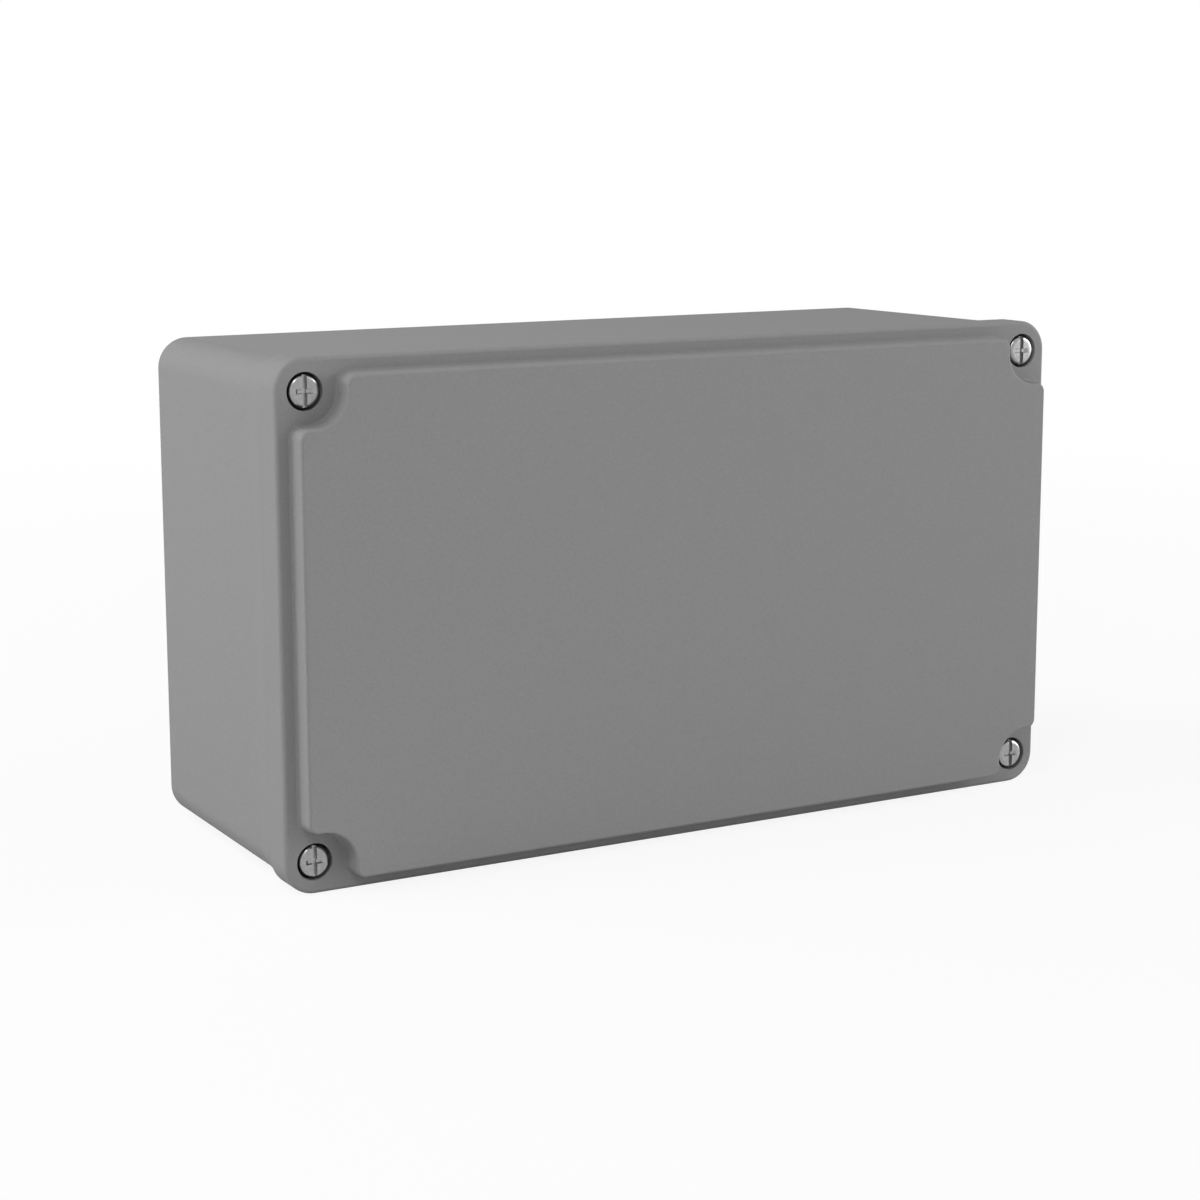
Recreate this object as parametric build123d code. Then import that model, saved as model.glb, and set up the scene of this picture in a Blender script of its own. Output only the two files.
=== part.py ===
from build123d import *
import os
from math import radians, tan

# Cast aluminium junction box, all sizes in millimetres.
# The origin is the middle of the flat back face. +X runs along the box, +Z is up as it stands on
# its long side, and the cover faces -Y. A depth is a distance from the back face towards the cover.

# Overall sizes, over the rim of the cover
LENGTH = 250.0
HEIGHT = 142.5
BODY_DEPTH = 81.5
RIM_DEPTH = 10.0
PANEL_RISE = 6.5

# Outer form of the body
WALL_INSET = 1.0            # how far the walls lie inside the cover's rim, behind the flare
MOUTH_INSET = 0.15          # the same at the mouth, where the flare meets the cover
FLARE_DEPTH = 10.0
BODY_CORNER_RADIUS = 9.0
BODY_DRAFT_DEG = 0.28
BACK_EDGE_BEVEL = 1.85      # stands for a rounding of 2.5
FLARE_OVERLAP = 2.0         # how deep the flare's ring is rooted in the wall

# Body castings inside
WALL = 3.6
FLOOR = 3.5

# Outer form of the cover
RIM_CORNER_RADIUS = 8.7
RIM_FRONT_BEVEL = 1.15      # stands for a rounding of 1.55
PANEL_FOOT_INSET = 3.9      # rim band left round the raised panel
PANEL_DRAFT_DEG = 3.5
PANEL_EDGE_BEVEL = 0.6
PANEL_THICKNESS = 3.0
COVER_WALL = 3.7
COVER_HOLLOW_DRAFT_DEG = 1.0

# Corners that leave room for the cover screws
SCREW_INSET_X = 8.55        # from the rim's end to a screw's axis
SCREW_INSET_Z = 8.85        # from the rim's long edge to a screw's axis
NOTCH_RADIUS = 4.8          # radius round a screw of the notched outline with no inset
SHOULDER_RADIUS = 7.2       # its convex shoulders, with no inset
SHARP_BELOW = 2.0           # a shoulder with a smaller radius stays sharp

# Seal between body and cover
TONGUE_WIDTH = 1.6
TONGUE_HEIGHT = 2.0
GROOVE_CLEARANCE = 0.8      # from the tongue to each side of the groove
GASKET_THICKNESS = 3.0
GASKET_CLEARANCE = 0.05

# Cover screws, M5 with a cheese head, and their washers
SCREW_DIAMETER = 5.0
SCREW_LENGTH = 16.0
HEAD_DIAMETER = 8.5
HEAD_HEIGHT = 3.3
HEAD_BEVEL_WIDTH = 0.9      # stands for the head's rounded edge, with the height below
HEAD_BEVEL_HEIGHT = 0.7
SLOT_WIDTH = 1.2
SLOT_DEPTH = 1.3
CROSS_SPAN = 4.6
CROSS_WIDTH = 1.2
CROSS_DEPTH = 1.8
COUNTERBORE_CLEARANCE = 0.8
PASSAGE_CLEARANCE = 0.25
THREAD_CLEARANCE = 0.06
WASHER_THICKNESS = 1.0
WASHER_CLEARANCE = 0.15
WASHER_BORE_CLEARANCE = 0.08
BLIND_DEPTH = 4.0           # tapped hole left ahead of a screw's tip

# Wall fixing holes, in the back of the body
WALL_HOLE_INSET_X = 27.0    # from the rim's end to a hole's axis
WALL_HOLE_INSET_Z = 17.25   # from the rim's long edge to a hole's axis
WALL_HOLE_DIAMETER = 6.5

# Bosses inside for a mounting plate
PLATE_BOSS_INSET_X = 45.0
PLATE_BOSS_INSET_Z = 25.25
BOSS_DIAMETER = 9.5
BOSS_HEIGHT = 8.0
BOSS_HOLE_DIAMETER = 3.3
BOSS_HOLE_DEPTH = 7.0

# Earth terminal in the body, M5
BODY_EARTH_INSET = 24.0     # from the rim's end to the screw's axis
BODY_EARTH_BOSS_DIAMETER = 14.0
BODY_EARTH_BOSS_HEIGHT = 8.0
BODY_EARTH_SCREW = dict(thread=5.0, length=10.0, flats=8.0, height=3.5, clamp=11.0)

# Earth terminal in the cover, M4
COVER_EARTH_INSET = 20.0
COVER_EARTH_BOSS_DIAMETER = 12.0
COVER_EARTH_BOSS_HEIGHT = 6.0
COVER_EARTH_SCREW = dict(thread=4.0, length=8.0, flats=7.0, height=2.8, clamp=10.0)

# Wire clamp of both earth terminals
CLAMP_THICKNESS = 1.0
CLAMP_LIP_WIDTH = 0.9
CLAMP_LIP_HEIGHT = 0.9
EARTH_HOLE_FLOOR = 1.5

# Places worked out from the sizes above
SEAM = BODY_DEPTH
RIM_FRONT = SEAM + RIM_DEPTH
PANEL_FRONT = RIM_FRONT + PANEL_RISE
SCREW_X = LENGTH / 2 - SCREW_INSET_X
SCREW_Z = HEIGHT / 2 - SCREW_INSET_Z
WALL_HOLE_SPACING_X = LENGTH - 2 * WALL_HOLE_INSET_X
WALL_HOLE_SPACING_Z = HEIGHT - 2 * WALL_HOLE_INSET_Z
PLATE_BOSS_SPACING_X = LENGTH - 2 * PLATE_BOSS_INSET_X
PLATE_BOSS_SPACING_Z = HEIGHT - 2 * PLATE_BOSS_INSET_Z
BODY_EARTH_X = BODY_EARTH_INSET - LENGTH / 2
COVER_EARTH_X = COVER_EARTH_INSET - LENGTH / 2
CAVITY_INSET = WALL_INSET + WALL
TONGUE_INSET = CAVITY_INSET - TONGUE_WIDTH
GROOVE_INSET = TONGUE_INSET - GROOVE_CLEARANCE
GROOVE_INNER_INSET = CAVITY_INSET + GROOVE_CLEARANCE
PANEL_TOP_INSET = PANEL_FOOT_INSET + PANEL_RISE * tan(radians(PANEL_DRAFT_DEG))
HOLLOW_INSET = PANEL_TOP_INSET + COVER_WALL
COUNTERBORE_FLOOR = RIM_FRONT - HEAD_HEIGHT - WASHER_THICKNESS
SCREW_TIP = RIM_FRONT - HEAD_HEIGHT - SCREW_LENGTH
CORNERS = {
    "top_left": (-SCREW_X, SCREW_Z),
    "top_right": (SCREW_X, SCREW_Z),
    "bottom_left": (-SCREW_X, -SCREW_Z),
    "bottom_right": (SCREW_X, -SCREW_Z),
}


def facing_front(depth):
    """Drawing plane at a depth, seen from the cover side, so that it extrudes towards the cover."""
    return Plane.XZ.offset(depth)


def facing_back(depth):
    """Drawing plane at a depth that extrudes towards the back of the box."""
    return Plane(origin=(0, -depth, 0), x_dir=(1, 0, 0), z_dir=(0, 1, 0))


def cylinder_between(x, z, start, end, radius):
    """Round bar along Y at x, z, between two depths."""
    return extrude(facing_front(start) * Pos(x, z) * Circle(radius), amount=end - start)


def rim_outline(inset, radius):
    """Rounded rectangle that lies inside the rim's outline by an inset."""
    return RectangleRounded(LENGTH - 2 * inset, HEIGHT - 2 * inset, radius)


def notched_outline(inset):
    """Rectangle with a round notch about each screw, parallel to the rim at an inset."""
    half_x = LENGTH / 2 - inset
    half_z = HEIGHT / 2 - inset
    notch = NOTCH_RADIUS + inset
    shape = Rectangle(2 * half_x, 2 * half_z)
    for side_x in (-1, 1):
        for side_z in (-1, 1):
            reach_x = half_x - SCREW_X + notch
            reach_z = half_z - SCREW_Z + notch
            corner = Pos(side_x * half_x, side_z * half_z)
            shape -= corner * Rectangle(2 * (reach_x - notch), 2 * reach_z)
            shape -= corner * Rectangle(2 * reach_x, 2 * (reach_z - notch))
            shape -= Pos(side_x * SCREW_X, side_z * SCREW_Z) * Circle(notch)
    shoulders = [
        vertex
        for vertex in shape.vertices()
        if abs(abs(vertex.X) - half_x) < 0.001 or abs(abs(vertex.Y) - half_z) < 0.001
    ]
    radius = SHOULDER_RADIUS - inset
    return fillet(shoulders, radius) if radius > SHARP_BELOW else shape


def edges_at(shape, depth):
    """Edges of a shape that lie flat at a depth."""
    return [
        edge
        for edge in shape.edges()
        if abs(edge.bounding_box().min.Y + depth) < 0.01 and abs(edge.bounding_box().max.Y + depth) < 0.01
    ]


def flared_mouth():
    """Front end of the body's outside, which swells in a shallow ogee to meet the cover's rim."""
    swell = WALL_INSET - MOUTH_INSET
    path = (facing_front(SEAM) * rim_outline(WALL_INSET, BODY_CORNER_RADIUS)).face().outer_wire()
    start = path @ 0
    along = path % 0
    outward = along.cross(Vector(0, -1, 0))
    if outward.dot(Vector(start.X, 0, start.Z)) < 0:
        outward = -outward
    section_plane = Plane(origin=start, x_dir=outward, z_dir=along)
    backward = 1 if section_plane.y_dir.Y > 0 else -1
    outer_end = (swell, 0)
    middle = (swell / 2, backward * FLARE_DEPTH / 2)
    inner_end = (0, backward * FLARE_DEPTH)
    outline = [
        TangentArc([outer_end, middle], tangent=(0, backward)),
        TangentArc([inner_end, middle], tangent=(0, -backward)),
        Polyline(inner_end, (-FLARE_OVERLAP, backward * FLARE_DEPTH), (-FLARE_OVERLAP, 0), outer_end),
    ]
    section = section_plane * make_face(outline)
    ring = sweep(section, path=path)
    core_inset = WALL_INSET + FLARE_OVERLAP / 2
    core_outline = rim_outline(core_inset, BODY_CORNER_RADIUS - FLARE_OVERLAP / 2)
    return ring + extrude(facing_front(SEAM - FLARE_DEPTH) * core_outline, amount=FLARE_DEPTH)


def body_outside():
    """Solid outer form of the body: drafted walls, bevelled back edge and flared mouth."""
    wall_end = SEAM - FLARE_DEPTH
    walls = extrude(
        facing_back(wall_end) * rim_outline(WALL_INSET, BODY_CORNER_RADIUS),
        amount=wall_end,
        taper=BODY_DRAFT_DEG,
    )
    walls = chamfer(edges_at(walls, 0), BACK_EDGE_BEVEL)
    return walls + flared_mouth()


def enclosure_body():
    """One casting: walls, floor, corner posts for the cover screws, tongue, bosses and holes."""
    body = body_outside()
    tongue_end = SEAM + TONGUE_HEIGHT
    body += extrude(facing_front(SEAM) * notched_outline(TONGUE_INSET), amount=TONGUE_HEIGHT)
    body -= extrude(facing_back(tongue_end) * notched_outline(CAVITY_INSET), amount=tongue_end - FLOOR)

    tapped = SCREW_DIAMETER / 2 + THREAD_CLEARANCE
    for x, z in CORNERS.values():
        body -= cylinder_between(x, z, SCREW_TIP - BLIND_DEPTH, SEAM, tapped)

    for place in GridLocations(WALL_HOLE_SPACING_X, WALL_HOLE_SPACING_Z, 2, 2):
        x, z = place.position.X, place.position.Y
        body -= cylinder_between(x, z, 0, FLOOR, WALL_HOLE_DIAMETER / 2)

    boss_top = FLOOR + BOSS_HEIGHT
    for place in GridLocations(PLATE_BOSS_SPACING_X, PLATE_BOSS_SPACING_Z, 2, 2):
        x, z = place.position.X, place.position.Y
        body += cylinder_between(x, z, FLOOR, boss_top, BOSS_DIAMETER / 2)
        body -= cylinder_between(x, z, boss_top - BOSS_HOLE_DEPTH, boss_top, BOSS_HOLE_DIAMETER / 2)

    earth_top = FLOOR + BODY_EARTH_BOSS_HEIGHT
    earth_hole = BODY_EARTH_SCREW["thread"] / 2 + THREAD_CLEARANCE
    body += cylinder_between(BODY_EARTH_X, 0, FLOOR, earth_top, BODY_EARTH_BOSS_DIAMETER / 2)
    body -= cylinder_between(BODY_EARTH_X, 0, EARTH_HOLE_FLOOR, earth_top, earth_hole)
    return body


def enclosure_cover():
    """One casting: rim, raised panel with notched corners, seal groove, screw seats and earth boss."""
    rim = extrude(facing_front(SEAM) * rim_outline(0, RIM_CORNER_RADIUS), amount=RIM_DEPTH)
    rim = chamfer(edges_at(rim, RIM_FRONT), RIM_FRONT_BEVEL)
    panel = extrude(
        facing_front(RIM_FRONT) * notched_outline(PANEL_FOOT_INSET),
        amount=PANEL_RISE,
        taper=PANEL_DRAFT_DEG,
    )
    panel = chamfer(edges_at(panel, PANEL_FRONT), PANEL_EDGE_BEVEL)
    cover = rim + panel

    ceiling = PANEL_FRONT - PANEL_THICKNESS
    cover -= extrude(
        facing_front(SEAM) * notched_outline(HOLLOW_INSET),
        amount=ceiling - SEAM,
        taper=COVER_HOLLOW_DRAFT_DEG,
    )
    groove = notched_outline(GROOVE_INSET) - notched_outline(GROOVE_INNER_INSET)
    cover -= extrude(facing_front(SEAM) * groove, amount=TONGUE_HEIGHT + GASKET_THICKNESS)

    counterbore = HEAD_DIAMETER / 2 + COUNTERBORE_CLEARANCE
    passage = SCREW_DIAMETER / 2 + PASSAGE_CLEARANCE
    for x, z in CORNERS.values():
        cover -= cylinder_between(x, z, COUNTERBORE_FLOOR, RIM_FRONT, counterbore)
        cover -= cylinder_between(x, z, SEAM, COUNTERBORE_FLOOR, passage)

    boss_end = ceiling - COVER_EARTH_BOSS_HEIGHT
    cover += cylinder_between(COVER_EARTH_X, 0, boss_end, ceiling, COVER_EARTH_BOSS_DIAMETER / 2)
    earth_hole = COVER_EARTH_SCREW["thread"] / 2 + THREAD_CLEARANCE
    hole_end = PANEL_FRONT - EARTH_HOLE_FLOOR
    cover -= cylinder_between(COVER_EARTH_X, 0, boss_end, hole_end, earth_hole)
    return cover


def cover_gasket():
    """Endless cord of soft rubber that fills the bottom of the cover's groove."""
    outer = notched_outline(GROOVE_INSET + GASKET_CLEARANCE)
    inner = notched_outline(GROOVE_INNER_INSET - GASKET_CLEARANCE)
    return extrude(facing_front(SEAM + TONGUE_HEIGHT) * (outer - inner), amount=GASKET_THICKNESS)


def cheese_head():
    """Round screw head with its underside at z = 0 and a straight slot along local Y."""
    head = extrude(Circle(HEAD_DIAMETER / 2), amount=HEAD_HEIGHT)
    head = chamfer(head.edges().group_by(Axis.Z)[-1], HEAD_BEVEL_HEIGHT, HEAD_BEVEL_WIDTH)
    return head - Pos(0, 0, HEAD_HEIGHT) * Box(SLOT_WIDTH, HEAD_DIAMETER, 2 * SLOT_DEPTH)


def cross_recess():
    """Short cross that is sunk into a head's top at z = 0."""
    return Box(CROSS_SPAN, CROSS_WIDTH, 2 * CROSS_DEPTH) + Box(CROSS_WIDTH, CROSS_SPAN, 2 * CROSS_DEPTH)


def shank(diameter, length):
    """Plain bar below z = 0 that stands for a thread."""
    return extrude(Circle(diameter / 2), amount=-length)


def cover_screw(x, z):
    """Cheese-head screw with a slot and a cross, its head flush with the rim."""
    head = cheese_head() - Pos(0, 0, HEAD_HEIGHT) * cross_recess()
    screw = head + shank(SCREW_DIAMETER, SCREW_LENGTH)
    return facing_front(RIM_FRONT - HEAD_HEIGHT) * Pos(x, z) * screw


def sealing_washer(x, z):
    """Soft washer that seals a screw's head on the floor of its counterbore."""
    outer = HEAD_DIAMETER / 2 + COUNTERBORE_CLEARANCE - WASHER_CLEARANCE
    bore = SCREW_DIAMETER / 2 + WASHER_BORE_CLEARANCE
    ring = Circle(outer) - Circle(bore)
    return extrude(facing_front(COUNTERBORE_FLOOR) * Pos(x, z) * ring, amount=WASHER_THICKNESS)


def clamp_plate(size):
    """Square plate with two raised lips that keep the wire under the screw, seat at z = 0."""
    side = size["clamp"]
    bore = size["thread"] / 2 + WASHER_BORE_CLEARANCE
    plate = extrude(Rectangle(side, side) - Circle(bore), amount=CLAMP_THICKNESS)
    for way in (-1, 1):
        lip = Pos(way * (side - CLAMP_LIP_WIDTH) / 2, 0) * Rectangle(CLAMP_LIP_WIDTH, side)
        plate += extrude(lip, amount=CLAMP_THICKNESS + CLAMP_LIP_HEIGHT)
    return plate


def earth_screw(size):
    """Hexagon-head terminal screw, with the seat of its clamp plate at z = 0."""
    head = extrude(RegularPolygon(size["flats"] / 2, side_count=6, major_radius=False), amount=size["height"])
    return Pos(0, 0, CLAMP_THICKNESS) * (head + shank(size["thread"], size["length"]))


def earth_terminal(seat, size):
    """The two loose pieces of an earth terminal on a plane that lies on its boss."""
    return {
        "screw": seat * earth_screw(size),
        "clamp_plate": seat * clamp_plate(size),
    }


def build_nodes():
    """Every separate piece of the box, under its node's name."""
    nodes = {
        "enclosure_body": enclosure_body(),
        "enclosure_cover": enclosure_cover(),
        "cover_gasket": cover_gasket(),
    }
    for corner, (x, z) in CORNERS.items():
        nodes["cover_screw_" + corner] = cover_screw(x, z)
        nodes["sealing_washer_" + corner] = sealing_washer(x, z)
    body_seat = facing_front(FLOOR + BODY_EARTH_BOSS_HEIGHT) * Pos(BODY_EARTH_X, 0)
    for name, piece in earth_terminal(body_seat, BODY_EARTH_SCREW).items():
        nodes["body_earth_" + name] = piece
    cover_boss_end = PANEL_FRONT - PANEL_THICKNESS - COVER_EARTH_BOSS_HEIGHT
    cover_seat = facing_back(cover_boss_end) * Pos(COVER_EARTH_X, 0)
    for name, piece in earth_terminal(cover_seat, COVER_EARTH_SCREW).items():
        nodes["cover_earth_" + name] = piece
    return nodes


os.makedirs("parts", exist_ok=True)
for node_name, node_shape in build_nodes().items():
    export_step(node_shape, f"parts/{node_name}.step")
    print(f"{node_name}: {len(node_shape.solids())} solid, {node_shape.volume:.1f} mm3")
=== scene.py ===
from math import asin, ceil, cos, degrees, pi, radians, sin, tan

import bmesh
import bpy
from mathutils import Matrix, Vector
from mathutils.geometry import tessellate_polygon


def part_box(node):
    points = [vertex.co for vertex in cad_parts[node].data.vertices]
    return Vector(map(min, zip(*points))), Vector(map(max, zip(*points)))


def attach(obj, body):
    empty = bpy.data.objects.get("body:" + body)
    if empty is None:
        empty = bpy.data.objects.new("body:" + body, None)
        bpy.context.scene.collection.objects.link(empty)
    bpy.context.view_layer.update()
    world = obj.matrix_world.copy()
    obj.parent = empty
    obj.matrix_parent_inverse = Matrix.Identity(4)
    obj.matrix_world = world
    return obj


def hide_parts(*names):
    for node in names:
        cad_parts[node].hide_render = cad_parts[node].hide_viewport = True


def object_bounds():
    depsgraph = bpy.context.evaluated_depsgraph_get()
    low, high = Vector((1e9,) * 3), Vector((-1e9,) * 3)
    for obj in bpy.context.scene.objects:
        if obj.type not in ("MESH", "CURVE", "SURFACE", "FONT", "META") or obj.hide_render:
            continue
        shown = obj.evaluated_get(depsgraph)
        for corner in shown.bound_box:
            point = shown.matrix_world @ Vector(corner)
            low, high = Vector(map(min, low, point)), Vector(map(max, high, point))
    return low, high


# Cast aluminium junction box: the looks around the fixed frame, all lengths in metres.
# The box stands on its long side, the cover faces -Y, and a depth is a distance from its back.
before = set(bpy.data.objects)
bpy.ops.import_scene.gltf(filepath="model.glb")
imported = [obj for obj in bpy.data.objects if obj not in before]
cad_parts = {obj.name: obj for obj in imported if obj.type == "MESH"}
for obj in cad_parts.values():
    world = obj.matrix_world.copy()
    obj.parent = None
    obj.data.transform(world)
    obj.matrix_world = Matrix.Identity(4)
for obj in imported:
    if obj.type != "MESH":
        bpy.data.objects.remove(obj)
frame_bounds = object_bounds()

MM = 0.001
FRONT = Vector((0, -1, 0))
BACK = -FRONT
CORNERS = ("top_left", "top_right", "bottom_left", "bottom_right")

# Sizes read from the frame
cover_low, cover_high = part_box("enclosure_cover")
gasket_low, gasket_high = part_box("cover_gasket")
head_low, head_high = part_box("cover_screw_top_left")
washer_low, washer_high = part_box("sealing_washer_top_left")
HALF_X = cover_high[0]
HALF_Z = cover_high[2]
SEAM = -cover_high[1]
PANEL_FRONT = -cover_low[1]
RIM_FRONT = -head_low[1]
COUNTERBORE_FLOOR = -washer_high[1]
GROOVE_FLOOR = -gasket_low[1]
HEAD_RADIUS = (head_high[0] - head_low[0]) / 2
FLOOR_LEVEL = frame_bounds[0][2]


def middle_of(node):
    """Middle of a node's box, as x and z."""
    low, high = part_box(node)
    return (low[0] + high[0]) / 2, (low[2] + high[2]) / 2


SCREWS = {corner: middle_of("cover_screw_" + corner) for corner in CORNERS}
SCREW_X, SCREW_Z = SCREWS["top_right"]

# How finely round forms are divided
ARC_STEPS = 14
FILLET_STEPS = 8
SEAT_EDGE_STEPS = 4
CIRCLE_STEPS = 64
TURNED_STEPS = 96
HEAD_EDGE_STEPS = 12
GRID_LINES_PER_METRE = 1e8

BEVEL_TILT = radians(45)

# Cover casting
RIM_CORNER_RADIUS = 8.7 * MM
RIM_FRONT_RADIUS = 1.25 * MM
RIM_REAR_RADIUS = 0.4 * MM
PANEL_FOOT_INSET = 4.1 * MM
PANEL_DRAFT = radians(3.5)
PANEL_EDGE_RADIUS = 0.85 * MM
PANEL_FOOT_RADIUS = 0.6 * MM
PANEL_THICKNESS = 3.0 * MM
COVER_WALL = 3.7 * MM
HOLLOW_DRAFT = radians(1)
HOLLOW_RADIUS = 1.5 * MM
NOTCH_RADIUS = 4.8 * MM
SHOULDER_RADIUS = 7.2 * MM
GASKET_CLEARANCE = 0.05 * MM
GROOVE_WIDTH = 3.2 * MM
HEAD_CLEARANCE = 0.8 * MM
SEAT_EDGE_RADIUS = 0.15 * MM
PASSAGE_RADIUS = 2.75 * MM
COVER_BOSS_RADIUS = 6.0 * MM
COVER_BOSS_HOLE_RADIUS = 2.06 * MM
METAL_OVER_HOLE = 1.5 * MM

# Body casting
BODY_WALL_INSET = 1.0 * MM
BODY_MOUTH_INSET = 0.15 * MM
BODY_CORNER_RADIUS = 9.0 * MM
BODY_DRAFT = radians(0.28)
BODY_BACK_RADIUS = 2.5 * MM
BODY_MOUTH_RADIUS = 0.25 * MM
FLARE_DEPTH = 10.0 * MM
FLARE_STEPS = 12
CAVITY_INSET = 4.6 * MM
CAVITY_FLOOR = 3.5 * MM
CAVITY_FLOOR_RADIUS = 2.0 * MM
TONGUE_INSET = 3.0 * MM
TONGUE_END = SEAM + 2.0 * MM
TAPPED_RADIUS = 2.56 * MM
TAPPED_END = 68.2 * MM
TAPPED_MOUTH_RADIUS = 3.0 * MM
WALL_HOLE_RADIUS = 3.25 * MM
WALL_HOLE_X = HALF_X - 27.0 * MM
WALL_HOLE_Z = HALF_Z - 17.25 * MM
PLATE_BOSS_RADIUS = 4.75 * MM
PLATE_BOSS_X = HALF_X - 45.0 * MM
PLATE_BOSS_Z = HALF_Z - 25.25 * MM
PLATE_BOSS_HOLE_RADIUS = 1.65 * MM
PLATE_BOSS_HOLE_DEPTH = 7.0 * MM
BOSS_HEIGHT = 8.0 * MM
BOSS_EDGE_RADIUS = 0.4 * MM
BOSS_FOOT_RADIUS = 1.0 * MM
BOSS_HOLE_BEVEL = 0.3 * MM
EARTH_BOSS_RADIUS = 7.0 * MM
EARTH_HOLE_FLOOR = 1.5 * MM

# Cover screws
HEAD_HEIGHT_ABOVE_WASHER = RIM_FRONT + washer_low[1]
SHANK_LENGTH = head_high[1] + RIM_FRONT - HEAD_HEIGHT_ABOVE_WASHER
SHANK_RADIUS = 2.5 * MM
THREAD_PITCH = 0.8 * MM
HEAD_EDGE_WIDTH = 1.15 * MM
HEAD_EDGE_HEIGHT = 0.8 * MM
HEAD_REAR_BEVEL = 0.1 * MM
SLOT_WIDTH = 1.2 * MM
SLOT_DEPTH = 1.1 * MM
CROSS_SPAN = 5.0 * MM
CROSS_WIDTH = 1.25 * MM
CROSS_DEPTH = 0.75 * MM
CROSS_TAPER = 0.7
CROSS_CUTTER_RISE = 0.5 * MM

# Threads of all screws
THREAD_DEPTH_PER_PITCH = 0.56
THREAD_FLANK = 1.25
THREAD_CREST = 0.12
THREAD_TURN_STEPS = 40
THREAD_ROWS_PER_TURN = 8
TIP_LENGTH = 0.8 * MM
SHANK_OVERLAP = 0.2 * MM

# Earth screws: thread radius, pitch, width of the head across its flats, height of the head
M5_HEXAGON_SCREW = (2.5 * MM, 0.8 * MM, 8.0 * MM, 3.5 * MM)
M4_HEXAGON_SCREW = (2.0 * MM, 0.7 * MM, 7.0 * MM, 2.8 * MM)
HEXAGON_HALF_SIDE = radians(30)
HEXAGON_BEVEL = radians(30)
HEXAGON_BLANK_OVERSIZE = 0.1 * MM
HEXAGON_TOP_PER_FLATS = 0.475

CUTTER_REACH = 1 * MM
SHARP_ANGLE = radians(32)

# Tones and roughness as pairs, each mixed by a noise
STEEL_TONES = (0.28, 0.38)
STEEL_ROUGHNESS = (0.26, 0.36)
ZINC_TONES = ((0.50, 0.52, 0.54), (0.66, 0.67, 0.68))
ZINC_ROUGHNESS = (0.28, 0.42)
BRASS_TONES = ((0.66, 0.56, 0.32), (0.80, 0.70, 0.42))
BRASS_ROUGHNESS = (0.24, 0.38)
RUBBER_TONES = (0.012, 0.02)
RUBBER_ROUGHNESS = (0.62, 0.78)
PAINT_TONES = (0.228, 0.252)
PAINT_CLOUDS = (0.985, 1.0)
PAINT_ROUGHNESS = (0.86, 0.96)
PAINT_SPECULAR = 0.1

# Camera at the photograph's viewing angle, and the photograph's own frame of 1200 by 1200 pixels
IMAGE_SIZE = 1200
FOCAL_PIXELS = 2504.68
AXIS_PIXEL_X = 595.69
AXIS_PIXEL_Y = 563.42
SENSOR = 36.0
CAMERA_PLACE = Vector((-0.36655, -0.68425, 0.12945))
YAW = 0.5151
PITCH = 0.1732
ROLL = -0.0015

# Soft studio light. Each lamp is a place, the point it faces, a size and a power.
LAMPS = {
    "upper_left": ((-1.2, 0.42, 0.93), (0, 0, 0), 1.35, 22.6),
    "key": ((-0.75, -0.75, 1.15), (0, 0, 0), 0.25, 5.5),
    "right": ((1.5, -0.6, 0.25), (0, 0, 0), 1.3, 26.0),
    "back": ((0.4, 1.5, 0.04), (0, 0, 0), 0.35, 5.0),
}
WORLD_STRENGTH = 0.08
WORLD_FRONT_STRENGTH = 0.64
WHITE = (1, 1, 1, 1)

# Floor: near the box a share of its own shaded colour shows in the white, and fades with distance
FLOOR_HALF = 4.0
FLOOR_COLOUR = 0.72
FLOOR_ROUGHNESS = 0.9
FADE_START = 0.25
FADE_END = 0.9
WHITE_SHARE_NEAR = 0.89


def linked_object(name, data):
    """New object in the scene with a mesh, lamp or camera."""
    made = bpy.data.objects.new(name, data)
    bpy.context.scene.collection.objects.link(made)
    return made


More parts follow.
